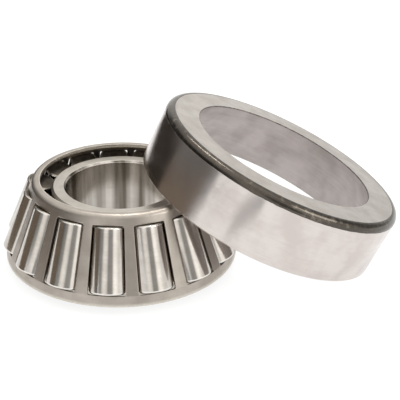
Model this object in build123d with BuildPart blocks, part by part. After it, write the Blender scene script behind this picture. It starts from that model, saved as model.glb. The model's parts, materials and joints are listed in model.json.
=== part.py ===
import os
from math import asin, atan2, cos, hypot, pi, radians, sin, sqrt, tan

from build123d import *

os.makedirs("parts", exist_ok=True)

# Single-row tapered roller bearing with its cup lifted off and leaning on the cone.
# Lengths in mm, angles in degrees.  The origin is on the bearing axis in the middle of
# the cone's bore; +Z points out of the cone's small end, and the cup leans towards +X.

# Boundary sizes
bore_diameter = 41.275
outside_diameter = 95.25
bearing_width = 31.75
cone_width = 30.1625
cup_width = 23.8125

# Rolling geometry: both races and every roller share one apex on the bearing axis
roller_axis_angle = 20.07
roller_count = 15
roller_fill = 0.887              # roller thickness as a share of the space between axes
first_roller_angle = -1.7
cup_wall = 12.725                # at the cup's back face
roller_corner = 0.8
roller_play = 0.65               # loose rollers stand this far outside the seated cup race
race_gap = 0.12
small_rib_gap = 0.5

# Cone ribs
big_rib_width = 3.8
big_rib_height = 3.5
small_rib_width = 3.2
small_rib_height = 0.9
undercut_length = 1.3
undercut_depth = 0.35
front_bore_chamfer = 0.78
front_rib_chamfer = 0.9
back_bore_radius = 2.4
back_rib_chamfer = 1.0

# Pressed cage
sheet = 1.4
cage_depth_big = 2.4             # roller crown above the cage at the large end
cage_depth_small = 1.9
cage_top_rise = 3.2              # cage flange above the cone's front face
cage_bend = 2.0
flange_width = 1.44              # flat part, inside the shoulder
skirt_height = 3.5               # lower cage edge above the cone's back face
skirt_flare = 13.0
pocket_side_gap = 0.2
pocket_end_gap = 0.4
pocket_corner = 0.6

# Cup edges and resting place
cup_corner = 2.5
cup_front_chamfer = 0.6
cup_race_chamfer = 0.4
cup_bore_chamfer = 0.25
cup_reach = 0.9975               # floor contact from the bearing axis, as a share of the outside
rest_gap = 1.0                   # least height of the cup rim over the cage

bore = bore_diameter / 2
outside = outside_diameter / 2
cup_race_radius = outside - cup_wall
cup_toe = cup_reach * outside_diameter
front = cone_width / 2
back = -cone_width / 2

# Angles from the bearing axis to roller axis, outer race and inner race, and the roller's own
beta = radians(roller_axis_angle)
nu = roller_fill * asin(sin(beta) * sin(pi / roller_count))
alpha = beta + nu
gamma = beta - nu
apex = back + bearing_width + (cup_race_radius + roller_play) / tan(alpha)
reach = (apex - back - big_rib_width) / cos(gamma)
small_reach = (apex - front + small_rib_width) / cos(gamma) + small_rib_gap
axis_reach = reach * cos(nu)
roller_length = axis_reach - small_reach * cos(nu)
roller_big_radius = reach * sin(nu)
roller_small_radius = small_reach * sin(nu)


def along(angle, distance, offset=0.0):
    """Radius and height at a distance from the apex, pushed outward by offset."""
    radius = distance * sin(angle) + offset * cos(angle)
    return radius, apex - distance * cos(angle) + offset * sin(angle)


# Inner ring
race_foot = along(gamma, reach - undercut_length, -race_gap)
race_head = along(gamma, small_reach + undercut_length, -race_gap)
foot_inside = along(gamma, reach - undercut_length, -race_gap - undercut_depth)
head_inside = along(gamma, small_reach + undercut_length, -race_gap - undercut_depth)
rib_sphere = reach + race_gap
foot_corner = along(gamma, rib_sphere, -race_gap - undercut_depth)
head_corner = along(gamma, small_reach - small_rib_gap, -race_gap - undercut_depth)
small_rib_edge = along(gamma, small_reach - small_rib_gap, small_rib_height - race_gap)
big_rib_radius = reach * sin(gamma) + big_rib_height
big_rib_edge = (big_rib_radius, apex - sqrt(rib_sphere**2 - big_rib_radius**2))
rib_middle_angle = (atan2(foot_corner[0], apex - foot_corner[1]) + asin(big_rib_radius / rib_sphere)) / 2
rib_middle = (rib_sphere * sin(rib_middle_angle), apex - rib_sphere * cos(rib_middle_angle))
quarter = back_bore_radius * (1 - sqrt(0.5))

with BuildPart() as inner_ring:
    with BuildSketch(Plane.XZ):
        with BuildLine():
            ThreePointArc((bore, back + back_bore_radius), (bore + quarter, back + quarter),
                          (bore + back_bore_radius, back))
            Polyline((bore + back_bore_radius, back), (big_rib_radius - back_rib_chamfer, back),
                     (big_rib_radius, back + back_rib_chamfer), big_rib_edge)
            ThreePointArc(big_rib_edge, rib_middle, foot_corner)
            Polyline(foot_corner, foot_inside, race_foot, race_head, head_inside, head_corner,
                     small_rib_edge, (small_rib_edge[0], front - front_rib_chamfer),
                     (small_rib_edge[0] - front_rib_chamfer, front),
                     (bore + front_bore_chamfer, front), (bore, front - front_bore_chamfer),
                     (bore, back + back_bore_radius))
        make_face()
    revolve(axis=Axis.Z)
inner_ring.part.label = "inner_ring"

# Rollers
for index in range(roller_count):
    turn = radians(first_roller_angle + index * 360 / roller_count)
    radius, height = along(beta, axis_reach)
    foot = Vector(radius * cos(turn), radius * sin(turn), height)
    spin = Vector(-sin(beta) * cos(turn), -sin(beta) * sin(turn), cos(beta))
    outward = Vector(cos(beta) * cos(turn), cos(beta) * sin(turn), sin(beta))
    with BuildPart() as roller:
        with BuildSketch(Plane(origin=foot, x_dir=outward, z_dir=(sin(turn), -cos(turn), 0))):
            with BuildLine():
                ThreePointArc((0, axis_reach - reach),
                              (reach * sin(nu / 2), axis_reach - reach * cos(nu / 2)),
                              (roller_big_radius, 0))
                Polyline((roller_big_radius, 0), (roller_small_radius, roller_length),
                         (0, roller_length), (0, axis_reach - reach))
            make_face()
            fillet(vertices().sort_by(Axis.X)[-2:], radius=roller_corner)
        revolve(axis=Axis(foot, spin))
    roller.part.label = f"roller_{index + 1:02d}"
    export_step(roller.part, f"parts/{roller.part.label}.step")

# Cage
cage_foot = along(alpha, reach, -cage_depth_big)
cage_head = along(alpha, small_reach, -cage_depth_small)
kappa = atan2(cage_foot[0] - cage_head[0], cage_head[1] - cage_foot[1])
cage_top = front + cage_top_rise
bend_height = cage_top - cage_bend
bend_radius = cage_head[0] - (bend_height - cage_head[1]) * tan(kappa) - cage_bend / cos(kappa)
flange_inside = bend_radius - flange_width
pocket_foot = along(alpha, reach + pocket_end_gap, -cage_depth_big)
pocket_head = along(alpha, small_reach - pocket_end_gap, -cage_depth_small)
skirt_foot = back + skirt_height
skirt_radius = pocket_foot[0] + (pocket_foot[1] - skirt_foot) * tan(radians(skirt_flare))


def bend_point(angle, size):
    """Point on the rounded shoulder, at an angle above the horizontal."""
    return bend_radius + size * cos(angle), bend_height + size * sin(angle)


def pocket_half(roller_radius, crown, cage_radius):
    """Half a pocket's width, clear of its roller at the sheet's curved inner face."""
    depth = roller_radius - crown - sheet
    half = sqrt(roller_radius**2 - depth**2)
    sag = cage_radius - sheet - sqrt((cage_radius - sheet)**2 - half**2)
    return sqrt(roller_radius**2 - (depth - sag * cos(kappa))**2) + pocket_side_gap


shoulder = (kappa + radians(90)) / 2
skirt = radians(skirt_flare)
knee_inside = (pocket_foot[0] - sheet * cos(kappa), pocket_foot[1] - sheet * sin(kappa))
skirt_inside = (skirt_radius - sheet * cos(skirt), skirt_foot)

with BuildPart() as cage:
    with BuildSketch(Plane.XZ):
        with BuildLine():
            Polyline((flange_inside, cage_top - sheet), (flange_inside, cage_top),
                     (bend_radius, cage_top))
            ThreePointArc((bend_radius, cage_top), bend_point(shoulder, cage_bend),
                          bend_point(kappa, cage_bend))
            Polyline(bend_point(kappa, cage_bend), pocket_foot, (skirt_radius, skirt_foot),
                     skirt_inside, knee_inside, bend_point(kappa, cage_bend - sheet))
            ThreePointArc(bend_point(kappa, cage_bend - sheet),
                          bend_point(shoulder, cage_bend - sheet), (bend_radius, cage_top - sheet))
            Line((bend_radius, cage_top - sheet), (flange_inside, cage_top - sheet))
        make_face()
    revolve(axis=Axis.Z)

    big_half = pocket_half(roller_big_radius, cage_depth_big, cage_foot[0])
    small_half = pocket_half(roller_small_radius, cage_depth_small, cage_head[0])
    half_length = hypot(pocket_foot[0] - pocket_head[0], pocket_foot[1] - pocket_head[1]) / 2
    middle_radius = (pocket_foot[0] + pocket_head[0]) / 2
    middle_height = (pocket_foot[1] + pocket_head[1]) / 2
    for index in range(roller_count):
        turn = radians(first_roller_angle + index * 360 / roller_count)
        middle = (middle_radius * cos(turn), middle_radius * sin(turn), middle_height)
        facing = (cos(kappa) * cos(turn), cos(kappa) * sin(turn), sin(kappa))
        with BuildSketch(Plane(origin=middle, x_dir=(-sin(turn), cos(turn), 0), z_dir=facing)) as pocket:
            with BuildLine():
                Polyline((-big_half, -half_length), (big_half, -half_length), (small_half, half_length),
                         (-small_half, half_length), close=True)
            make_face()
            fillet(vertices(), radius=pocket_corner)
        extrude(amount=2.5 * sheet, both=True, mode=Mode.SUBTRACT)
cage.part.label = "cage"

# Cup, tipped on its lower edge until its rim rests above the cone
cup_big_radius = cup_race_radius + cup_width * tan(alpha)
crown_foot = along(alpha, reach)
crown_head = along(alpha, small_reach)
outline = [(flange_inside, cage_top), (bend_radius, cage_top), bend_point(shoulder, cage_bend),
           bend_point(kappa, cage_bend), crown_head, crown_foot]


def cone_height(radius):
    """Top of the cone assembly at a radius from the bearing axis, far down beyond it."""
    for (inner, high), (outer, low) in zip(outline, outline[1:]):
        if inner <= radius <= outer:
            return high + (low - high) * (radius - inner) / (outer - inner)
    return front if radius < flange_inside else -outside


def rim_clearance(tip):
    """Least height of the tipped cup's rim over the cone."""
    pivot = outside - cup_front_chamfer
    lowest = []
    for edge in (cup_big_radius + cup_race_chamfer, pivot):
        for step in range(360):
            side = radians(step / 2)
            across = pivot - edge * cos(side)
            x, z = cup_toe - across * cos(tip), back + across * sin(tip)
            lowest.append(z - cone_height(hypot(x, edge * sin(side))))
    return min(lowest)


flat, upright = 0.0, radians(80)
for _ in range(40):
    tip = (flat + upright) / 2
    if rim_clearance(tip) < rest_gap:
        flat = tip
    else:
        upright = tip
pivot = outside - cup_front_chamfer
cup_foot = Vector(cup_toe - pivot * cos(tip), 0, back + pivot * sin(tip))
cup_axis = Vector(sin(tip), 0, cos(tip))
corner_middle = outside - cup_corner * (1 - sqrt(0.5))

with BuildPart() as cup:
    with BuildSketch(Plane(origin=cup_foot, x_dir=(cos(tip), 0, -sin(tip)), z_dir=(0, -1, 0))):
        with BuildLine():
            Polyline((cup_big_radius + cup_race_chamfer, 0), (pivot, 0), (outside, cup_front_chamfer),
                     (outside, cup_width - cup_corner))
            ThreePointArc((outside, cup_width - cup_corner),
                          (corner_middle, cup_width - outside + corner_middle),
                          (outside - cup_corner, cup_width))
            Polyline((outside - cup_corner, cup_width), (cup_race_radius + cup_bore_chamfer, cup_width),
                     (cup_race_radius + cup_bore_chamfer * tan(alpha), cup_width - cup_bore_chamfer),
                     (cup_big_radius - cup_race_chamfer * tan(alpha), cup_race_chamfer),
                     (cup_big_radius + cup_race_chamfer, 0))
        make_face()
    revolve(axis=Axis(cup_foot, cup_axis))
cup.part.label = "cup"

for piece in (inner_ring, cage, cup):
    export_step(piece.part, f"parts/{piece.part.label}.step")
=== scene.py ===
"""Looks of a single-row tapered roller bearing: the caged cone, and the cup that leans on it."""

import json
import logging
import math
from dataclasses import dataclass
from enum import Enum, IntEnum
from typing import Any

import bpy
from bpy.types import ID, Material, Mesh, Node, NodeSocket, NodeTree, Object
from mathutils import Matrix, Vector

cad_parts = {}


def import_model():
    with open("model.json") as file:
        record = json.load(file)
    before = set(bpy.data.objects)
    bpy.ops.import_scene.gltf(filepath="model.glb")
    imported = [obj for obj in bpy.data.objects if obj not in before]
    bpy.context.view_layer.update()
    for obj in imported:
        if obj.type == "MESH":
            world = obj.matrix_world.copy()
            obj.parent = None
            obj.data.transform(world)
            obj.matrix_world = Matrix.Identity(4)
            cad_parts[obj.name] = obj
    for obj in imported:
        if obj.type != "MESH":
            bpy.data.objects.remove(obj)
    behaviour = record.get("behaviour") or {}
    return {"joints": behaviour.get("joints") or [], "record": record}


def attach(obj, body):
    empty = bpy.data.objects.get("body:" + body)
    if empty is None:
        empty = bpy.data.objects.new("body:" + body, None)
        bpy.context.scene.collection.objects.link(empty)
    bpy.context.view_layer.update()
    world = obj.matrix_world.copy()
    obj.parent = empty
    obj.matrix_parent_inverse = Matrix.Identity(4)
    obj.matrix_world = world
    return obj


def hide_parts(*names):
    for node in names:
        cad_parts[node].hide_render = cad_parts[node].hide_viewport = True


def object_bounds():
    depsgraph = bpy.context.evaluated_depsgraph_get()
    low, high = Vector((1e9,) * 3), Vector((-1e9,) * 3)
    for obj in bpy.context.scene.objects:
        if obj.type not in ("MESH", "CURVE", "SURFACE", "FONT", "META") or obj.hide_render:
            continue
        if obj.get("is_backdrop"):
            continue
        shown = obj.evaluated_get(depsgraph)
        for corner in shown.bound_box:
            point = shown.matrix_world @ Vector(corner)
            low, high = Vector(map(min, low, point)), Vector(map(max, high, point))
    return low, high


Pair = tuple[float, float]
Triple = tuple[float, float, float]

LOG = logging.getLogger("bearing")
MM = 0.001
WARM_WHITE = "fffdfa"
UPRIGHT = math.radians(90)
MIDDLE_BAND = (0.3, 0.7)  # the part of a noise's values that most of it lies in
CLOUD_BAND = (0.35, 0.65)  # narrower, so that clouds stand apart


def srgb(hex_code: str) -> tuple[float, float, float, float]:
    """Turns an sRGB hex colour to linear.

    Args:
        hex_code: six hex digits, such as "c9c2b8".

    Returns:
        Linear red, green, blue and an alpha of 1.
    """
    parts = [int(hex_code[i:i + 2], 16) / 255 for i in (0, 2, 4)]
    linear = [c / 12.92 if c <= 0.04045 else ((c + 0.055) / 1.055) ** 2.4 for c in parts]
    return linear[0], linear[1], linear[2], 1.0


def add(tree: NodeTree, kind: str, settings: dict[Any, Any] | None = None,
        links: dict[Any, NodeSocket] | None = None) -> Node:
    """Adds a node with its settings and links.

    Args:
        tree: the node tree it goes into.
        kind: the node's Blender type, without its ShaderNode.
        settings: values by input name or number, or by property name.
        links: the socket that feeds each input, by name or number.

    Returns:
        The new node.
    """
    node = tree.nodes.new("ShaderNode" + kind)
    for key, value in (settings or {}).items():
        if isinstance(key, int) or key in node.inputs:
            node.inputs[key].default_value = value
        else:
            setattr(node, key, value)
    for key, source in (links or {}).items():
        tree.links.new(source, node.inputs[key])
    return node


def empty_tree(holder: Any) -> NodeTree:
    """Gives a material or world an empty node tree."""
    holder.use_nodes = True
    holder.node_tree.nodes.clear()
    return holder.node_tree


def show(name: str, data: ID) -> Object:
    """Puts a mesh, light or camera into the scene.

    Args:
        name: the object's name.
        data: what the object holds.

    Returns:
        The new object.
    """
    shown = bpy.data.objects.new(name, data)
    bpy.context.scene.collection.objects.link(shown)
    return shown


# --- sizes

@dataclass(frozen=True)
class Sizes:
    """The bearing's driving sizes in mm and degrees, and the rolling geometry they give."""

    bore: float = 41.275 / 2  # radius
    outside: float = 95.25 / 2  # radius
    bearing_width: float = 31.75
    cone_width: float = 30.1625
    cup_width: float = 23.8125
    roller_axis_angle: float = 20.07
    roller_count: int = 15
    roller_fill: float = 0.887
    cup_wall: float = 12.725
    roller_play: float = 0.65
    race_gap: float = 0.12
    big_rib_width: float = 3.8
    small_rib_width: float = 3.2
    small_rib_gap: float = 0.5
    sheet: float = 1.4

    @property
    def front(self) -> float:
        """Height of the cone's front face."""
        return self.cone_width / 2

    @property
    def back(self) -> float:
        """Height of the cone's back face."""
        return -self.cone_width / 2

    @property
    def cup_race_radius(self) -> float:
        """Radius of the cup's race at its back face."""
        return self.outside - self.cup_wall

    @property
    def beta(self) -> float:
        """Angle from the bearing axis to a roller's axis."""
        return math.radians(self.roller_axis_angle)

    @property
    def nu(self) -> float:
        """A roller's half angle."""
        half_pitch = math.pi / self.roller_count
        return self.roller_fill * math.asin(math.sin(self.beta) * math.sin(half_pitch))

    @property
    def alpha(self) -> float:
        """Angle of the cup's race."""
        return self.beta + self.nu

    @property
    def gamma(self) -> float:
        """Angle of the cone's race."""
        return self.beta - self.nu

    @property
    def apex(self) -> float:
        """Height of the point that every race and roller aims at."""
        reach = (self.cup_race_radius + self.roller_play) / math.tan(self.alpha)
        return self.back + self.bearing_width + reach

    @property
    def reach(self) -> float:
        """Distance from the apex to the rollers' big ends."""
        return (self.apex - self.back - self.big_rib_width) / math.cos(self.gamma)

    @property
    def small_reach(self) -> float:
        """Distance from the apex to the rollers' small ends."""
        slant = (self.apex - self.front + self.small_rib_width) / math.cos(self.gamma)
        return slant + self.small_rib_gap

    def along(self, angle: float, distance: float, offset: float = 0.0) -> Pair:
        """Radius and height at a distance from the apex, pushed outward by offset."""
        radius = distance * math.sin(angle) + offset * math.cos(angle)
        return radius, self.apex - distance * math.cos(angle) + offset * math.sin(angle)


# --- finishes

class Ramp(Enum):
    """How a factor is squeezed between two values."""

    SMOOTH = "SMOOTHSTEP"
    STRAIGHT = "LINEAR"


class Weave:
    """A steel's node tree while it is being put together, with the coordinates it works in."""

    def __init__(self, name: str) -> None:
        """Starts a material with a shader and coordinates in mm about the part's own axis.

        Args:
            name: the material's name.
        """
        self.material = bpy.data.materials.new(name)
        self.tree = empty_tree(self.material)
        self.shader = add(self.tree, "BsdfPrincipled", {"Metallic": 1.0})
        add(self.tree, "OutputMaterial", links={"Surface": self.shader.outputs["BSDF"]})
        own = add(self.tree, "Attribute", {"attribute_name": "own"})
        self.place = own.outputs["Vector"]
        split = add(self.tree, "SeparateXYZ", links={"Vector": self.place})
        radius = add(self.tree, "VectorMath", {"operation": "LENGTH"}, {0: self.stretched(1, 0)})
        self.axial = self.math("ADD", radius.outputs["Value"], split.outputs["Z"])

    def stretched(self, across: float, upward: float) -> NodeSocket:
        """The place, scaled across the axis and along it."""
        return add(self.tree, "VectorMath", {"operation": "MULTIPLY", 1: (across, across, upward)},
                   {0: self.place}).outputs["Vector"]

    def math(self, operation: str, first: Any, second: Any = 0.0) -> NodeSocket:
        """Does a sum on two sockets or numbers.

        Args:
            operation: Blender's name for the sum.
            first: a socket or number.
            second: a socket or number.

        Returns:
            The result's socket.
        """
        pair = {0: first, 1: second}
        numbers = {k: v for k, v in pair.items() if isinstance(v, (int, float))}
        sockets = {k: v for k, v in pair.items() if k not in numbers}
        node = add(self.tree, "Math", {"operation": operation, **numbers}, sockets)
        return node.outputs[0]

    def blend(self, first: Any, second: Any, share: float) -> NodeSocket:
        """Adds two sockets, the first by its share (0 to 1) and the second by the rest."""
        return self.math("ADD", self.math("MULTIPLY", first, share),
                         self.math("MULTIPLY", second, 1 - share))

    def noise(self, vector: NodeSocket, size: float, detail: float = 3.0,
              seed: float = 0.0) -> NodeSocket:
        """Cloudy noise near 0.5, its blotches size across in vector's units; seed moves it."""
        return add(self.tree, "TexNoise",
                   {"noise_dimensions": "4D", "Scale": 1 / size, "Detail": detail, "W": seed},
                   {"Vector": vector}).outputs["Fac"]

    def grain(self, length: float, width: float, seed: float = 0.0) -> NodeSocket:
        """Grinding lines that run round the part's axis.

        Args:
            length: how far one line runs, in mm.
            width: how wide one line is, in mm.
            seed: moves it.

        Returns:
            A value near 0.5.
        """
        lift = add(self.tree, "CombineXYZ", links={"Z": self.math("DIVIDE", self.axial, width)})
        where = add(self.tree, "VectorMath", {"operation": "ADD"},
                    {0: self.stretched(1 / length, 0), 1: lift.outputs["Vector"]})
        return self.noise(where.outputs["Vector"], 1.0, 2.0, seed)

    def span(self, value: Any, low: float, high: float, start: float = 0.0, end: float = 1.0,
             ramp: Ramp = Ramp.STRAIGHT) -> NodeSocket:
        """Maps low..high to start..end along a ramp, held at both ends."""
        settings = {"interpolation_type": ramp.value, "From Min": low, "From Max": high,
                    "To Min": start, "To Max": end}
        return add(self.tree, "MapRange", settings, {"Value": value}).outputs["Result"]

    def ripple(self, value: NodeSocket, pattern: NodeSocket, size: float) -> NodeSocket:
        """Adds a pattern to a value, size to either side."""
        return self.math("ADD", value, self.span(pattern, *MIDDLE_BAND, -size, size))

    def attribute(self, name: str) -> NodeSocket:
        """Reads a number that the mesh holds at each point."""
        return add(self.tree, "Attribute", {"attribute_name": name}).outputs["Fac"]

    def colour(self, first: Any, second: Any, factor: Any) -> NodeSocket:
        """Mixes two colours, each a hex code or a socket.

        Args:
            first: colour at factor 0.
            second: colour at factor 1.
            factor: the share of the second.

        Returns:
            The mixed colour's socket.
        """
        pair = {6: first, 7: second}
        fixed = {k: srgb(v) for k, v in pair.items() if isinstance(v, str)}
        fed = {k: v for k, v in pair.items() if k not in fixed}
        node = add(self.tree, "Mix", {"data_type": "RGBA", **fixed}, {0: factor, **fed})
        return node.outputs[2]

    def bump(self, height: NodeSocket, depth_mm: float,
             under: NodeSocket | None = None) -> NodeSocket:
        """Raises the surface by height times depth.

        Args:
            height: 0 to 1.
            depth_mm: the height at 1.
            under: a bump it lies on.

        Returns:
            The normal's socket.
        """
        links = {"Height": height}
        if under is not None:
            links["Normal"] = under
        return add(self.tree, "Bump", {"Strength": 1.0, "Distance": depth_mm * MM},
                   links).outputs["Normal"]

    def feed(self, **sockets: NodeSocket) -> None:
        """Links sockets to the shader's inputs, with _ for a space."""
        for name, socket in sockets.items():
            self.tree.links.new(socket, self.shader.inputs[name.replace("_", " ")])


@dataclass(frozen=True)
class GroundSteel:
    """Through-hardened bearing steel, ground on a wheel: even light grey with fine round lines."""

    name: str
    light: str = "cdc8c1"
    dark: str = "b7b1a9"
    # the rounded edges' colour; on the cup race it is dark and paints a shade line
    edge: str = "e8e3da"
    roughness: float = 0.3
    spread: float = 0.08
    line_width: float = 0.22  # real lines are 0.02 mm; drawn coarser so that they show
    line_length: float = 9.0
    depth: float = 0.0006
    cloud: float = 7.0  # blotches, such as dried rust preventive leaves
    cloud_strength: float = 0.5
    streak_width: float = 0.0  # painted reflection: light and dark streaks along the axis, 0 for none
    streak_rise: float = 0.01  # how fast a streak changes along itself, per mm
    # colour of the dark painted reflection streaks
    streak: str = "6d665d"
    edge_patch: float = 1.1  # patches in which the rounded edges take the edge colour: brighter on most parts, a painted dark shade line on the cup race
    edge_patch_low: float = 0.45  # the share of the edge colour left between them

    def build(self) -> Material:
        """Makes the material.

        Returns:
            The material.
        """
        weave = Weave(self.name)
        lines = weave.grain(self.line_length, self.line_width)
        clouds = weave.span(weave.noise(weave.place, self.cloud, 4.0, 3.0), *CLOUD_BAND)
        tone = weave.blend(clouds, lines, self.cloud_strength)
        body = weave.colour(self.light, self.dark, weave.span(tone, 0.25, 0.75))
        # painted reflection: streaks along the axis mixed into the colour
        if self.streak_width:
            body = weave.colour(self.streak, body, self.painted_reflection_streaks(weave))
        # edge colour in patches on the rounded edges; on the cup race this paints a dark shade line
        patches = weave.noise(weave.place, self.edge_patch, 3.0, 9.0)
        edge_patches = weave.span(patches, 0.3, 0.6, self.edge_patch_low, 1.0)
        edge_tint = weave.math("MULTIPLY", weave.attribute("edge"), edge_patches)
        dulled = weave.span(clouds, 0, 1, self.roughness, self.roughness + self.spread)
        rough = weave.ripple(dulled, lines, self.spread / 3)
        weave.feed(Base_Color=weave.colour(body, self.edge, edge_tint), Roughness=rough,
                   Normal=weave.bump(lines, self.depth))
        return weave.material

    def painted_reflection_streaks(self, weave: Weave) -> NodeSocket:
        """Painted reflection streaks along the axis: 0 in a dull one and 1 in a bright one."""
        where = weave.stretched(1 / self.streak_width, self.streak_rise)
        return weave.span(weave.noise(where, 1.0, 2.0, 7.0), 0.38, 0.6)


@dataclass(frozen=True)
class SkinnedSteel:
    """Ground steel whose big corner keeps the dark skin of heat treatment: mottled and dull."""

    name: str
    light: str = "d8d1cc"
    dark: str = "ccc3bf"
    skin: str = "56514b"
    skin_light: str = "837c72"
    roughness: float = 0.15
    skin_roughness: float = 0.16
    line_width: float = 0.25
    line_length: float = 10.0
    cloud: float = 9.0
    mottle: float = 1.8
    depth: float = 0.0005
    skin_depth: float = 0.03
    ragged: float = 0.3  # how far flecks push the skin's border either way

    def build(self) -> Material:
        """Makes the material.

        Returns:
            The material.
        """
        weave = Weave(self.name)
        lines = weave.grain(self.line_length, self.line_width)
        clouds = weave.span(weave.noise(weave.place, self.cloud, 3.0, 2.0), *CLOUD_BAND)
        tone = weave.blend(clouds, lines, 0.5)
        body = weave.colour(self.light, self.dark, weave.span(tone, *MIDDLE_BAND))
        fleck = weave.noise(weave.place, self.mottle, 5.0, 5.0)
        patch = weave.noise(weave.place, self.mottle * 5, 2.0, 6.0)
        pale = weave.math("MULTIPLY", weave.span(fleck, 0.5, 0.68),
                          weave.span(patch, 0.42, 0.6, 0.15, 1.0))
        hide = weave.colour(self.skin, self.skin_light, pale)
        ragged = weave.math("ADD", weave.attribute("skin"),
                            weave.span(fleck, 0.2, 0.8, -self.ragged, self.ragged))
        cover = weave.span(ragged, 0.38, 0.62, ramp=Ramp.SMOOTH)
        dulled = weave.span(clouds, 0, 1, self.roughness, self.roughness + 0.07)
        smooth = weave.ripple(dulled, lines, 0.02)
        low, high = self.skin_roughness - 0.1, self.skin_roughness + 0.12
        dull = weave.span(fleck, *MIDDLE_BAND, low, high)
        rough = add(weave.tree, "Mix", {"data_type": "FLOAT"},
                    {0: cover, 2: smooth, 3: dull})
        pits = weave.math("MULTIPLY", fleck, cover)
        weave.feed(Base_Color=weave.colour(body, hide, cover), Roughness=rough.outputs[0],
                   Normal=weave.bump(pits, self.skin_depth, weave.bump(lines, self.depth)))
        return weave.material


@dataclass(frozen=True)
class PressedSheet:
    """Low-carbon steel sheet, pressed and tumbled: satin, warm grey, with a painted highlight on
    marked coined edges.
    """

    name: str = "pressed low-carbon steel sheet"
    light: str = "bbb4ab"
    dark: str = "9f978e"
    # colour of the painted highlight on marked edges
    edge: str = "e0dbd1"
    roughness: float = 0.36
    tumble: float = 0.5  # dents left by tumbling stones
    draw: float = 6.0  # streaks of the drawing punch, along the cone
    depth: float = 0.004
    cloud_strength: float = 0.65

    def build(self) -> Material:
        """Makes the material.

        Returns:
            The material.
        """
        weave = Weave(self.name)
        stones = weave.noise(weave.place, self.tumble, 4.0)
        clouds = weave.noise(weave.place, self.draw, 3.0, 4.0)
        tone = weave.blend(weave.span(clouds, *MIDDLE_BAND), stones, self.cloud_strength)
        body = weave.colour(self.light, self.dark, tone)
        # painted highlight: marked edges brighter, in patches of the tumbling dents
        edge_tint = weave.math("MULTIPLY", weave.attribute("edge"),
                          weave.span(stones, 0.35, 0.6, 0.5, 1.0))
        low, high = self.roughness - 0.05, self.roughness + 0.06
        rough = weave.ripple(weave.span(stones, *MIDDLE_BAND, low, high), clouds, 0.04)
        weave.feed(Base_Color=weave.colour(body, self.edge, edge_tint), Roughness=rough,
                   Normal=weave.bump(stones, self.depth))
        return weave.material


@dataclass(frozen=True)
class LightTable:
    """Opal acrylic lit from below: white, matt, with almost no shadow on it."""

    name: str = "opal acrylic light table"
    white: str = "7c7c7c"
    shade: str = "787878"
    glow: float = 0.86
    cloud: float = 30.0

    def build(self) -> Material:
        """Makes the material.

        Returns:
            The material.
        """
        weave = Weave(self.name)
        clouds = weave.noise(weave.place, self.cloud, 2.0)
        weave.shader.inputs["Metallic"].default_value = 0.0
        weave.shader.inputs["Roughness"].default_value = 0.9
        weave.shader.inputs["Emission Strength"].default_value = self.glow
        weave.shader.inputs["Emission Color"].default_value = srgb("ffffff")
        weave.feed(Base_Color=weave.colour(self.white, self.shade, clouds))
        return weave.material


# --- meshes

@dataclass(frozen=True)
class Corner:
    """A corner of a turned profile, in mm: where it is, how round it is, and what leaves it."""

    radius: float
    height: float
    rounding: float = 0.0
    finish: int = 0
    skin: bool = False


@dataclass(frozen=True)
class Spot:
    """A point of a finished profile, with the marks that the materials read."""

    radius: float
    height: float
    finish: int
    edge: float = 0.0
    skin: float = 0.0


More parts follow.
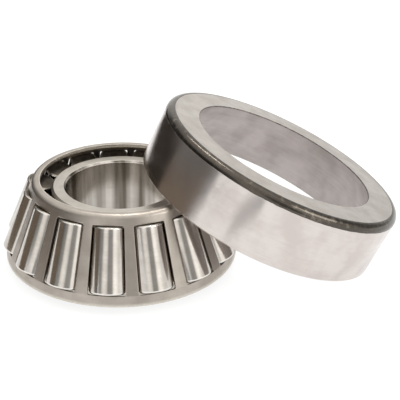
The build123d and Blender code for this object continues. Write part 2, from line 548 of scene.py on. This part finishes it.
@dataclass(frozen=True)
class Turned:
    """A piece turned about its own Z axis from a closed profile."""

    name: str
    corners: tuple[Corner, ...]
    around: int = 240
    arc_step: float = 9.0  # degrees between points of a rounded corner
    least_steps: int = 3
    pole: float = 1e-6  # mm from the axis within which a ring is one point
    guard: float = 0.06  # mm of flat kept flat beside a rounded corner
    skin_fade: float = 0.5  # mm over which an unground corner gives way to ground steel
    share_arcs: bool = False  # whether a rounded corner is half of each finish beside it

    def spots(self) -> list[Spot]:
        """Rounds the profile's corners.

        Returns:
            The points, in the corners' order.
        """
        found: list[Spot] = []
        total = len(self.corners)
        for i, corner in enumerate(self.corners):
            before = self.corners[i - 1]
            after = self.corners[(i + 1) % total]
            here = Vector((corner.radius, corner.height))
            if not corner.rounding:
                found.append(Spot(corner.radius, corner.height, corner.finish))
                continue
            back = (Vector((before.radius, before.height)) - here).normalized()
            onward = (Vector((after.radius, after.height)) - here).normalized()
            opening = back.angle(onward)
            tangent = corner.rounding / math.tan(opening / 2)
            centre = here + (back + onward).normalized() * corner.rounding / math.sin(opening / 2)
            first, last = here + back * tangent, here + onward * tangent
            bend = math.degrees(math.pi - opening)
            steps = max(self.least_steps, math.ceil(bend / self.arc_step))
            fade = self.skin_fade if corner.skin else self.guard
            start = here + back * (tangent + fade)
            found.append(Spot(start.x, start.y, before.finish))
            start_way, end_way = (first - centre).normalized(), (last - centre).normalized()
            for step in range(steps + 1):
                point = start_way.slerp(end_way, step / steps) * corner.rounding + centre
                kind = before.finish if step < steps / 2 else corner.finish
                if not self.share_arcs and step < steps:
                    kind = min(before.finish, corner.finish)
                found.append(Spot(point.x, point.y, kind, float(not corner.skin),
                                  float(corner.skin)))
            end = here + onward * (tangent + fade)
            found.append(Spot(end.x, end.y, corner.finish))
        return found

    def mesh(self) -> Mesh:
        """Turns the profile into a closed mesh.

        Returns:
            The mesh, with the float attributes edge and skin.
        """
        spots = self.spots()
        points: list[Triple] = []
        marks: list[Spot] = []
        rings: list[list[int]] = []
        for spot in spots:
            count = 1 if spot.radius < self.pole else self.around
            rings.append([len(points) + i for i in range(count)] * (self.around // count))
            for i in range(count):
                points.append(ring_point(spot.radius, spot.height, 2 * math.pi * i / self.around))
                marks.append(spot)
        faces: list[list[int]] = []
        finishes: list[int] = []
        for here, (low, high) in enumerate(zip(rings, rings[1:] + rings[:1])):
            if len(set(low)) == len(set(high)) == 1:
                continue
            for i in range(self.around):
                j = (i + 1) % self.around
                faces.append(list(dict.fromkeys((low[i], low[j], high[j], high[i]))))
                finishes.append(spots[here].finish)
        mesh = bpy.data.meshes.new(self.name)
        mesh.from_pydata(points, [], faces)
        mesh.polygons.foreach_set("material_index", finishes)
        for mark in ("edge", "skin"):
            layer = mesh.attributes.new(mark, "FLOAT", "POINT")
            layer.data.foreach_set("value", [getattr(spot, mark) for spot in marks])
        smooth_outward(mesh)
        return mesh


def ring_point(radius: float, height: float, turn: float) -> Triple:
    """A point in metres, from a radius and height in mm and a turn in radians."""
    return radius * MM * math.cos(turn), radius * MM * math.sin(turn), height * MM


def smooth_outward(mesh: Mesh, sharp_angle: float = 32.0) -> None:
    """Shades a closed mesh smooth, keeps its real edges sharp and turns its faces outward.

    Args:
        mesh: the mesh to finish.
        sharp_angle: degrees above which an edge stays sharp.
    """
    if signed_volume(mesh) < 0:
        mesh.flip_normals()
    mesh.shade_smooth()
    mesh.set_sharp_from_angle(angle=math.radians(sharp_angle))
    mesh.validate()


def mark_own(mesh: Mesh) -> None:
    """Keeps each point's place about the piece's own axis, in mm, for the materials to read."""
    layer = mesh.attributes.new("own", "FLOAT_VECTOR", "POINT")
    layer.data.foreach_set("vector", [c / MM for v in mesh.vertices for c in v.co])


def signed_volume(mesh: Mesh) -> float:
    """Volume inside a closed mesh, below 0 when its faces point inward."""
    mesh.calc_loop_triangles()
    points = [v.co for v in mesh.vertices]
    return sum(points[a].dot(points[b].cross(points[c])) for a, b, c in
               (t.vertices for t in mesh.loop_triangles)) / 6


def stand_in(mesh: Mesh, node: str, finishes: list[Material],
             place: Matrix) -> Object:
    """Puts a finished mesh in a CAD node's place, riding on the same body.

    Args:
        mesh: the piece's mesh, about its own axis.
        node: the CAD node and body it stands for.
        finishes: its materials, in the order the mesh numbers them.
        place: where its own axis and origin lie.

    Returns:
        The new object.
    """
    mark_own(mesh)
    mesh.transform(place)
    piece = show(mesh.name, mesh)
    for finish in finishes:
        mesh.materials.append(finish)
    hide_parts(node)
    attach(piece, node)
    edge_tint = ", ".join(f.name for f in finishes)
    LOG.info("%s: %d faces, %s", piece.name, len(mesh.polygons), edge_tint)
    return piece


# --- the cone

ConeFinish = IntEnum("ConeFinish", "FACE BORE RACE", start=0)


@dataclass(frozen=True)
class InnerRing:
    """The cone's ring: bore, two ribs, and the race between its grinding undercuts."""

    sizes: Sizes
    big_rib_height: float = 3.5
    small_rib_height: float = 0.9
    undercut_length: float = 1.3
    undercut_depth: float = 0.35
    front_bore_chamfer: float = 0.78
    front_rib_chamfer: float = 0.9
    back_bore_radius: float = 2.4
    back_rib_chamfer: float = 1.0
    broken: float = 0.16  # radius of a stoned edge

    def corners(self) -> tuple[Corner, ...]:
        """The ring's profile.

        Returns:
            Its corners, from the bore round the big end.
        """
        s = self.sizes
        face, bore, race = ConeFinish
        lowered = -s.race_gap - self.undercut_depth
        sphere = s.reach + s.race_gap
        rib = s.reach * math.sin(s.gamma) + self.big_rib_height
        rib_edge = (rib, s.apex - math.sqrt(sphere ** 2 - rib ** 2))
        small_rib = s.small_reach - s.small_rib_gap
        small = s.along(s.gamma, small_rib, self.small_rib_height - s.race_gap)
        big_cut = s.reach - self.undercut_length
        small_cut = s.small_reach + self.undercut_length
        groove = ((sphere, lowered), (big_cut, lowered), (big_cut, -s.race_gap),
                  (small_cut, -s.race_gap), (small_cut, lowered), (small_rib, lowered))
        b = self.broken
        return (
            Corner(s.bore, s.back, self.back_bore_radius, face),
            Corner(rib - self.back_rib_chamfer, s.back, b, face),
            Corner(rib, s.back + self.back_rib_chamfer, b, face),
            Corner(*rib_edge, b, race),
            *(Corner(*s.along(s.gamma, *spot), 0, race) for spot in groove),
            Corner(*small, b, race),
            Corner(small[0], s.front - self.front_rib_chamfer, b, face),
            Corner(small[0] - self.front_rib_chamfer, s.front, b, face),
            Corner(s.bore + self.front_bore_chamfer, s.front, b, bore),
            Corner(s.bore, s.front - self.front_bore_chamfer, b, bore),
        )

    def build(self) -> Object:
        """Turns the ring, dresses it and returns its object."""
        mesh = Turned("cone_ring", self.corners(), around=300).mesh()
        return stand_in(mesh, "inner_ring", self.dress(), Matrix.Identity(4))

    def dress(self) -> list[Material]:
        """The ring's finishes, in ConeFinish's order."""
        return [
            GroundSteel("ground bearing steel, cone face", light="c6c1b9", dark="b2ada5",
                        edge="d8d3ca", roughness=0.34).build(),
            # the bore's streaks are painted reflection
            GroundSteel("ground bearing steel, bore", light="d2cdc6", dark="c2bcb4", edge="cfcac2",
                        roughness=0.16, spread=0.04, line_width=0.3, cloud_strength=0.3,
                        streak_width=6.0).build(),
            # painted shade: the race, its undercuts and the small rib's top are dark, seen through
            # the gaps
            GroundSteel("honed bearing steel in painted shade, cone race", light="7c756b", dark="5f584f",
                        edge="8a8378", roughness=0.28).build(),
        ]


RollerFinish = IntEnum("RollerFinish", "ROLLING END", start=0)


@dataclass(frozen=True)
class Rollers:
    """The tapered rollers: straight tapers with a spherical big end and rounded corners."""

    sizes: Sizes
    joints: list[dict[str, Any]]
    corner: float = 0.8
    end_steps: int = 6

    def mesh(self, name: str) -> Mesh:
        """One roller about its own axis, with the big end's edge at height 0.

        Args:
            name: the mesh's name.

        Returns:
            The mesh.
        """
        s = self.sizes
        length = (s.reach - s.small_reach) * math.cos(s.nu)
        big, small = s.reach * math.sin(s.nu), s.small_reach * math.sin(s.nu)
        axis_reach = s.reach * math.cos(s.nu)
        rolling, end = RollerFinish
        sphere = [Corner(s.reach * math.sin(a), axis_reach - s.reach * math.cos(a), 0, end)
                  for a in (s.nu * i / self.end_steps for i in range(self.end_steps))]
        corners = (*sphere, Corner(big, 0, self.corner, rolling),
                   Corner(small, length, self.corner, end), Corner(0, length, 0, end))
        return Turned(name, corners, around=96, guard=0.1, share_arcs=True).mesh()

    def build(self) -> list[Object]:
        """Turns, places and dresses every roller.

        Returns:
            The rollers' objects.
        """
        finishes = self.dress()
        made = []
        for joint in self.joints:
            foot, spin = Vector(joint["pos_m"]), Vector(joint["axis"]).normalized()
            outward = Vector((foot.x, foot.y, 0)).normalized()
            outward = (outward - spin * outward.dot(spin)).normalized()
            turn = Matrix((outward, spin.cross(outward), spin)).transposed().to_4x4()
            node = joint["child"]
            place = Matrix.Translation(foot) @ turn
            mesh = self.mesh(node + "_ground")
            made.append(stand_in(mesh, node, finishes, place))
        return made

    def dress(self) -> list[Material]:
        """The rollers' finishes, in RollerFinish's order."""
        return [
            GroundSteel("superfinished bearing steel, rollers", light="cfcac4", dark="bfbab3",
                        edge="e6e2dc", roughness=0.11, spread=0.04, line_width=0.18,
                        line_length=4.0, cloud=4.0, depth=0.0002).build(),
            # painted shade: the roller ends are dark, as the gap between cage and cup is
            GroundSteel("ground bearing steel in painted shade, roller ends", light="6a645b",
                        dark="4d473f", edge="8f8980", roughness=0.36, cloud=2.0).build(),
        ]


# CUT is the sheet's inside and cut walls, painted dark as shade; COINED only marks edges while they
# are being rounded
CageFinish = IntEnum("CageFinish", "OUTSIDE CUT COINED", start=0)


@dataclass(frozen=True)
class Cage:
    """The pressed cage: flange, rounded shoulder, cone with a pocket per roller, and skirt."""

    sizes: Sizes
    first_turn: float
    depth_big: float = 2.4
    depth_small: float = 1.9
    top_rise: float = 3.2
    bend: float = 2.0
    flange_width: float = 1.44
    skirt_height: float = 3.5
    skirt_flare: float = 13.0
    side_gap: float = 0.2
    end_gap: float = 0.4
    pocket_corner: float = 0.6
    pocket_columns: int = 10
    bar_columns: int = 8
    coined: float = 0.2  # radius on the sheet's cut edges
    # where the sheet's rows of points lie, as shares of each stretch
    flange_rows: tuple[float, ...] = (0.0, 0.33, 0.66)
    shoulder_rows: tuple[float, ...] = (0.35, 0.8)
    skirt_rows: tuple[float, ...] = (0.06, 0.35, 0.68, 1.0)
    corner_turns: tuple[int, ...] = (0, 20, 38, 56, 73, 90)
    bend_steps: int = 12
    bar_steps: int = 14

    def half_width(self, roller: float, crown: float, cage: float, lean: float) -> float:
        """Half a pocket's width, clear of its roller at the sheet's curved inner face.

        Args:
            roller: the roller's radius there.
            crown: how far the roller stands above the cage.
            cage: the cage's radius there.
            lean: the cage's slope, in radians.

        Returns:
            The half width in mm.
        """
        depth = roller - crown - self.sizes.sheet
        half = math.sqrt(roller ** 2 - depth ** 2)
        inner = cage - self.sizes.sheet
        sag = inner - math.sqrt(inner ** 2 - half ** 2)
        return math.sqrt(roller ** 2 - (depth - sag * math.cos(lean)) ** 2) + self.side_gap

    def rows(self) -> tuple[list[tuple[Vector, Vector, float]], int, int]:
        """The sheet's rows from the flange's inner edge to the skirt's foot.

        Returns:
            Each row's outer point, inner point and pocket half width, and the first and last
            row of the pockets.
        """
        s = self.sizes
        foot = Vector(s.along(s.alpha, s.reach, -self.depth_big))
        head = Vector(s.along(s.alpha, s.small_reach, -self.depth_small))
        lean = math.atan2(foot.x - head.x, head.y - foot.y)
        top = s.front + self.top_rise
        bend_height = top - self.bend
        bend_radius = head.x - (bend_height - head.y) * math.tan(lean) - self.bend / math.cos(lean)
        pocket_foot = Vector(s.along(s.alpha, s.reach + self.end_gap, -self.depth_big))
        pocket_head = Vector(s.along(s.alpha, s.small_reach - self.end_gap, -self.depth_small))
        skirt = math.radians(self.skirt_flare)
        skirt_foot = s.back + self.skirt_height
        flare = (pocket_foot.y - skirt_foot) * math.tan(skirt)
        skirt_edge = Vector((pocket_foot.x + flare, skirt_foot))
        inward = Vector((math.cos(lean), math.sin(lean))) * s.sheet
        big = self.half_width(s.reach * math.sin(s.nu), self.depth_big, foot.x, lean)
        small = self.half_width(s.small_reach * math.sin(s.nu), self.depth_small, head.x, lean)
        at_head, at_foot = small - self.pocket_corner, big - self.pocket_corner
        rows = []
        for t in self.flange_rows:
            out = Vector((bend_radius - self.flange_width * (1 - t), top))
            rows.append((out, out - Vector((0, s.sheet)), at_head))
        middle = Vector((bend_radius, bend_height))
        for i in range(self.bend_steps + 1):
            angle = UPRIGHT + (lean - UPRIGHT) * i / self.bend_steps
            way = Vector((math.cos(angle), math.sin(angle)))
            rows.append((middle + way * self.bend, middle + way * (self.bend - s.sheet), at_head))
        end_of_bend = rows[-1][0]
        for t in self.shoulder_rows:
            out = end_of_bend.lerp(pocket_head, t)
            rows.append((out, out - inward, at_head))
        length = (pocket_foot - pocket_head).length
        corner = self.pocket_corner
        near = [corner * (1 - math.cos(math.radians(a))) for a in self.corner_turns]
        middle_steps = [corner + (length - 2 * corner) * i / self.bar_steps
                        for i in range(1, self.bar_steps)]
        first = len(rows)
        for d in [*near, *middle_steps, *(length - n for n in reversed(near))]:
            out = pocket_head.lerp(pocket_foot, d / length)
            short = max(0.0, corner - min(d, length - d))
            cut = corner - math.sqrt(max(0.0, corner ** 2 - short ** 2))
            rows.append((out, out - inward, small + (big - small) * d / length - cut))
        last = len(rows) - 1
        inner_foot = rows[-1][1]
        inner_edge = skirt_edge - Vector((s.sheet * math.cos(skirt), 0))
        for t in self.skirt_rows:
            rows.append((pocket_foot.lerp(skirt_edge, t), inner_foot.lerp(inner_edge, t), at_foot))
        return rows, first, last

    def turns(self, radius: float, half: float) -> list[float]:
        """Angles of one pocket's and one bar's columns, from the pocket's middle line.

        Args:
            radius: the face's radius.
            half: the pocket's half width there.

        Returns:
            The angles in radians.
        """
        pitch = 2 * math.pi / self.sizes.roller_count
        edge = math.asin(half / radius)
        across = [math.asin(half * (2 * i / self.pocket_columns - 1) / radius)
                  for i in range(self.pocket_columns)]
        bar = [edge + (pitch - 2 * edge) * i / self.bar_columns for i in range(self.bar_columns)]
        return across + bar

    def mesh(self) -> Mesh:
        """Builds the sheet as one closed shell with its pockets cut through.

        Returns:
            The mesh, its cut edges still sharp.
        """
        rows, first, last = self.rows()
        sector = self.pocket_columns + self.bar_columns
        columns = sector * self.sizes.roller_count
        pitch = 2 * math.pi / self.sizes.roller_count

        def solid(row: int, column: int) -> bool:
            """Whether there is sheet in the cell below this row and beside this column."""
            if not 0 <= row < len(rows) - 1:
                return False
            return not (first <= row < last and column % sector < self.pocket_columns)

        points: dict[tuple[int, int, int], int] = {}
        places: list[Triple] = []

        def point(side: int, row: int, column: int) -> int:
            """Number of the point on the outer (0) or inner (1) side, made when first asked for."""
            column %= columns
            key = (side, row, column)
            if key not in points:
                spot = rows[row][side]
                turn = (self.first_turn + pitch * (column // sector)
                        + self.turns(spot.x, rows[row][2])[column % sector])
                points[key] = len(places)
                places.append(ring_point(spot.x, spot.y, turn))
            return points[key]

        faces: list[list[int]] = []
        finishes: list[int] = []
        for row in range(len(rows) - 1):
            for column in range(columns):
                if not solid(row, column):
                    continue
                ring = [(row, column), (row, column + 1), (row + 1, column + 1), (row + 1, column)]
                faces.append([point(0, *r) for r in reversed(ring)])
                faces.append([point(1, *r) for r in ring])
                finishes += [CageFinish.OUTSIDE, CageFinish.CUT]
                beyond = [(row - 1, column), (row, column + 1), (row + 1, column),
                          (row, column - 1)]
                for i, cell in enumerate(beyond):
                    if not solid(cell[0], cell[1] % columns):
                        a, b = ring[i], ring[(i + 1) % 4]
                        faces.append([point(0, *a), point(0, *b), point(1, *b), point(1, *a)])
                        finishes.append(CageFinish.CUT)
        mesh = bpy.data.meshes.new("cage_sheet")
        mesh.from_pydata(places, [], faces)
        mesh.polygons.foreach_set("material_index", finishes)
        smooth_outward(mesh)
        return mesh

    def coin(self, mesh: Mesh) -> Mesh:
        """Rounds the sheet's cut edges and marks them.

        Args:
            mesh: the sharp-edged sheet.

        Returns:
            The rounded mesh.
        """
        piece = show("cage_sharp", mesh)
        bevel = piece.modifiers.new("coined edges", "BEVEL")
        bevel.width, bevel.segments, bevel.limit_method = self.coined * MM, 3, "ANGLE"
        bevel.angle_limit = math.radians(50)
        bevel.material = CageFinish.COINED
        for _ in CageFinish:
            mesh.materials.append(None)
        bpy.context.view_layer.update()
        graph = bpy.context.evaluated_depsgraph_get()
        rounded = bpy.data.meshes.new_from_object(piece.evaluated_get(graph))
        bpy.data.objects.remove(piece)
        marks = [0.0] * len(rounded.vertices)
        margin = 1.0  # mm within which an edge still belongs to the skirt's foot
        low = (self.sizes.back + self.skirt_height + margin) * MM
        for face in rounded.polygons:
            if face.material_index == CageFinish.COINED:
                # rims are marked for the outside's painted highlight; pocket edges join the dark
                # cut walls, painted shade
                rim = face.center.z > self.sizes.front * MM or face.center.z < low
                face.material_index = CageFinish.OUTSIDE if rim else CageFinish.CUT
                for vertex in face.vertices:
                    marks[vertex] = float(rim)
        rounded.materials.clear()
        rounded.attributes.new("edge", "FLOAT", "POINT").data.foreach_set("value", marks)
        rounded.name = "cage_pressed"
        smooth_outward(rounded, 40.0)
        return rounded

    def build(self) -> Object:
        """Presses the cage, dresses it and returns its object."""
        mesh = self.coin(self.mesh())
        return stand_in(mesh, "cage", self.dress(), Matrix.Identity(4))

    def dress(self) -> list[Material]:
        """The cage's outside, and its inside and cut walls, painted dark as shade."""
        return [PressedSheet().build(),
                # painted shade: the inside and the pockets' cut walls are dark so the crevices read
                # black
                PressedSheet("sheared low-carbon steel sheet in painted shade", light="3f3931",
                             dark="2a2520", edge="5a534a", roughness=0.45).build()]


# --- the cup

CupFinish = IntEnum("CupFinish", "RACE OUTSIDE FRONT BACK", start=0)


@dataclass(frozen=True)
class Cup:
    """The outer ring, on its own tipped axis: race, ground outside and an unground back corner."""

    sizes: Sizes
    seat: dict[str, Any]
    corner: float = 2.5
    front_chamfer: float = 0.6
    race_chamfer: float = 0.4
    bore_chamfer: float = 0.25
    bore_edge: float = 0.2
    broken: float = 0.12

    def place(self) -> Matrix:
        """Where the cup's own axis starts, at its front face, and how it leans."""
        axis = Vector(self.seat["axis"]).normalized()
        middle = self.front_chamfer * MM + self.seat["dims"]["length_mm"] * MM / 2
        foot = Vector(self.seat["pos_m"]) - axis * middle
        across = Vector((0, 1, 0))
        turn = Matrix((across.cross(axis), across, axis)).transposed().to_4x4()
        return Matrix.Translation(foot) @ turn

    def corners(self) -> tuple[Corner, ...]:
        """The cup's profile.

        Returns:
            Its corners, from the front face's outer edge up.
        """
        s = self.sizes
        slope = math.tan(s.alpha)
        big = s.cup_race_radius + s.cup_width * slope
        lead = self.bore_chamfer
        b = self.broken
        race, outside, front, back = CupFinish
        return (
            Corner(s.outside - self.front_chamfer, 0, b, outside),
            Corner(s.outside, self.front_chamfer, b, outside),
            Corner(s.outside, s.cup_width, self.corner, back, True),
            Corner(s.cup_race_radius + lead, s.cup_width, self.bore_edge, race),
            Corner(s.cup_race_radius + lead * slope, s.cup_width - lead, self.bore_edge, race),
            Corner(big - self.race_chamfer * slope, self.race_chamfer, b, front),
            Corner(big + self.race_chamfer, 0, b, front),
        )

    def build(self) -> Object:
        """Turns the cup, dresses it and returns its object."""
        mesh = Turned("cup_ring", self.corners(), around=420, arc_step=7.0, guard=0.03).mesh()
        return stand_in(mesh, "cup", self.dress(), self.place())

    def dress(self) -> list[Material]:
        """The cup's finishes, in CupFinish's order. The race's dark edge colour paints a shade line
        where race and face meet.
        """
        return [
            # edge 2f2a25: painted shade along the race's rounded rims
            GroundSteel("honed bearing steel, cup race", light="b8b0ad", dark="aaa29f",
                        edge="2f2a25", roughness=0.4, line_width=0.5, cloud=8.0).build(),
            SkinnedSteel("ground bearing steel, cup outside").build(),
            GroundSteel("ground bearing steel, cup front", roughness=0.34).build(),
            SkinnedSteel("ground bearing steel, cup back face", light="d0cbc5", dark="c2bcb6",
                         roughness=0.3, cloud=6.0).build(),
        ]


# --- the studio

@dataclass(frozen=True)
class Card:
    """A card round the bearing that only its reflections show: black, grey or glowing."""

    name: str
    turn: Pair  # degrees to the right of the camera's side, from and to
    rise: Pair  # degrees above the bearing's middle, from and to
    brightness: float = 0.0
    tint: str = "ffffff"
    distance: float = 0.7
    middle: float = 0.015  # height of the bearing's middle above its origin
    columns: int = 24

    def build(self) -> None:
        """Hangs the card."""
        mesh = bpy.data.meshes.new(self.name)
        points = []
        for i in range(self.columns + 1):
            turn = math.radians(self.turn[0] + (self.turn[1] - self.turn[0]) * i / self.columns)
            for rise in self.rise:
                points.append((self.distance * math.sin(turn), -self.distance * math.cos(turn),
                               self.middle + self.distance * math.tan(math.radians(rise))))
        faces = [(i, i + 2, i + 3, i + 1) for i in range(0, 2 * self.columns, 2)]
        mesh.from_pydata(points, [], faces)
        material = bpy.data.materials.new(self.name)
        tree = empty_tree(material)
        glow = add(tree, "Emission",
                   {"Strength": self.brightness, "Color": srgb(self.tint)})
        add(tree, "OutputMaterial", links={"Surface": glow.outputs["Emission"]})
        mesh.materials.append(material)
        card = show(self.name, mesh)
        card.visible_camera = card.visible_diffuse = card.visible_shadow = False
        card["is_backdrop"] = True


@dataclass(frozen=True)
class Softbox:
    """A soft rectangular light that faces the bearing."""

    name: str
    place: Triple
    size: Pair  # m along its run, and across
    watts: float
    run: Triple = (1.0, 0.0, 0.0)

    def build(self) -> None:
        """Hangs the light."""
        light = bpy.data.lights.new(self.name, "AREA")
        light.shape, light.energy = "RECTANGLE", self.watts
        light.size, light.size_y = self.size
        light.color = srgb(WARM_WHITE)[:3]
        away = Vector(self.place).normalized()
        along = Vector(self.run)
        along = (along - away * along.dot(away)).normalized()
        turn = Matrix((along, away.cross(along), away)).transposed().to_4x4()
        show(self.name, light).matrix_world = Matrix.Translation(self.place) @ turn


@dataclass(frozen=True)
class Studio:
    """A light table, a room with light and dark zones, cards, softboxes and the camera."""

    floor_height: float
    floor_size: float = 6.0
    # the room's brightness round the horizon, by degrees to the right of the camera's own side
    ring: tuple[Pair, ...] = (
        (-180, 1.1), (-160, 0.8), (-146, 0.2), (-108, 0.18), (-88, 0.15), (-70, 0.15),
        (-58, 0.3), (-44, 0.42), (-34, 1.1), (-24, 1.25), (-12, 1.1), (-1, 0.4), (22, 0.45),
        (32, 1.5), (44, 1.6), (64, 1.05), (86, 0.95), (98, 0.45), (122, 0.4), (150, 0.8),
        (180, 1.1))
    overhead: float = 1.08
    ceiling: Pair = (0.42, 0.8)  # sines of the rise where it takes over
    # the camera, in mm and degrees
    elevation: float = 27.26
    azimuth: float = 2.9
    distance: float = 336.1
    aim: Pair = (15.07, 17.83)
    focal: float = 875.56 / 400  # in picture widths
    sensor: float = 36.0
    sight: Pair = (0.01, 20.0)  # m, nearest and farthest seen
    shift: Pair = (0.099, 0.030)
    softboxes: tuple[Softbox, ...] = (
        Softbox("softbox_overhead", (0.1, 0.1, 0.9), (0.9, 0.9), 0.9),
        Softbox("strip_back", (0.07, 0.36, 0.9), (0.5, 0.06), 1.5, (0.25, -0.36, 0.13)),
        Softbox("softbox_right", (0.75, -0.35, 0.55), (0.4, 0.4), 1.6),
    )
    cards: tuple[Card, ...] = (
        Card("flag_left", (-168, -110), (-7.5, 10), 0.03, "ffe6cc", 0.22),
        Card("dim_left", (-110, -62), (-7.5, 7), 0.2, "ffe6cc", 0.22),
        Card("bounce_front_left", (-60, -28), (-2, 5), 1.1),
        Card("grey_front", (-21, -4), (-8.4, -3), 0.4, "ffffff", 0.2),
    )

    def build(self) -> None:
        """Sets the table, lights it, hangs the cards and sets up the camera."""
        self.set_table()
        self.light_room()
        for fitting in (*self.softboxes, *self.cards):
            fitting.build()
        self.set_camera()

    def set_table(self) -> None:
        """Puts the light table under the bearing."""
        half = self.floor_size / 2
        mesh = bpy.data.meshes.new("light_table")
        corners = [(-half, -half, 0), (half, -half, 0), (half, half, 0), (-half, half, 0)]
        mesh.from_pydata(corners, [], [(0, 1, 2, 3)])
        mark_own(mesh)
        mesh.materials.append(LightTable().build())
        table = show("light_table", mesh)
        table.location.z = self.floor_height
        table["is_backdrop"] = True

    def light_room(self) -> None:
        """Makes the room: a ring of light and dark round the horizon, and an even ceiling."""
        world = bpy.data.worlds.new("studio room")
        bpy.context.scene.world = world
        tree = empty_tree(world)
        way = add(tree, "TexCoord").outputs["Generated"]
        split = add(tree, "SeparateXYZ", links={"Vector": way})
        toward = add(tree, "Math", {"operation": "MULTIPLY", 1: -1.0},
                     {0: split.outputs["Y"]})
        turn = add(tree, "Math", {"operation": "ARCTAN2"},
                   {0: split.outputs["X"], 1: toward.outputs[0]})
        share = add(tree, "MapRange", {"From Min": -math.pi, "From Max": math.pi},
                    {"Value": turn.outputs[0]})
        ramp = add(tree, "ValToRGB", links={"Fac": share.outputs["Result"]})
        peak = max(value for _, value in self.ring)
        marks = ramp.color_ramp.elements
        while len(marks) < len(self.ring):
            marks.new(0.5)
        for mark, (degrees, value) in zip(marks, self.ring):
            mark.position = (degrees + 180) / 360
            mark.color = (value / peak, value / peak, value / peak, 1)
        rise = add(tree, "MapRange",
                   {"interpolation_type": Ramp.SMOOTH.value, "From Min": self.ceiling[0],
                    "From Max": self.ceiling[1]},
                   {"Value": split.outputs["Z"]})
        level = self.overhead / peak
        sky = add(tree, "Mix", {"data_type": "RGBA", 7: (level, level, level, 1)},
                  {0: rise.outputs["Result"], 6: ramp.outputs["Color"]})
        tint = add(tree, "Mix", {"data_type": "RGBA", "blend_type": "MULTIPLY", 0: 1.0,
                                           7: srgb(WARM_WHITE)}, {6: sky.outputs[2]})
        glow = add(tree, "Background", {"Strength": peak},
                   {"Color": tint.outputs[2]})
        add(tree, "OutputWorld", links={"Surface": glow.outputs["Background"]})

    def set_camera(self) -> None:
        """Sets the camera on the bearing."""
        rise = math.radians(self.elevation)
        turn = Matrix.Rotation(-math.radians(self.azimuth), 4, "Z")
        ahead = Vector((0, math.cos(rise), -math.sin(rise)))
        aim = Vector((self.aim[0], 0, self.aim[1] + self.floor_height / MM))
        data = bpy.data.cameras.new("camera")
        data.sensor_width = self.sensor
        data.lens = self.focal * data.sensor_width
        data.shift_x, data.shift_y = self.shift
        data.clip_start, data.clip_end = self.sight
        camera = show("camera", data)
        spin = Matrix.Rotation(UPRIGHT - rise, 4, "X")
        camera.matrix_world = turn @ Matrix.Translation((aim - ahead * self.distance) * MM) @ spin
        bpy.context.scene.camera = camera
        bpy.context.scene.view_settings.view_transform = "Standard"


def main() -> None:
    """Builds the bearing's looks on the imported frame."""
    logging.basicConfig(level=logging.INFO, format="%(message)s")
    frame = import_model()
    cad_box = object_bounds()
    sizes = Sizes()
    rolls = [j for j in frame["joints"] if j["child"].startswith("roller_")]
    seat = next(m for m in frame["record"]["mounts"] if m["name"] == "housing_seat")
    first = Vector(rolls[0]["pos_m"])
    InnerRing(sizes).build()
    Cage(sizes, math.atan2(first.y, first.x)).build()
    Rollers(sizes, rolls).build()
    Cup(sizes, seat).build()
    Studio(floor_height=cad_box[0][2]).build()


if __name__ == "__main__":
    main()
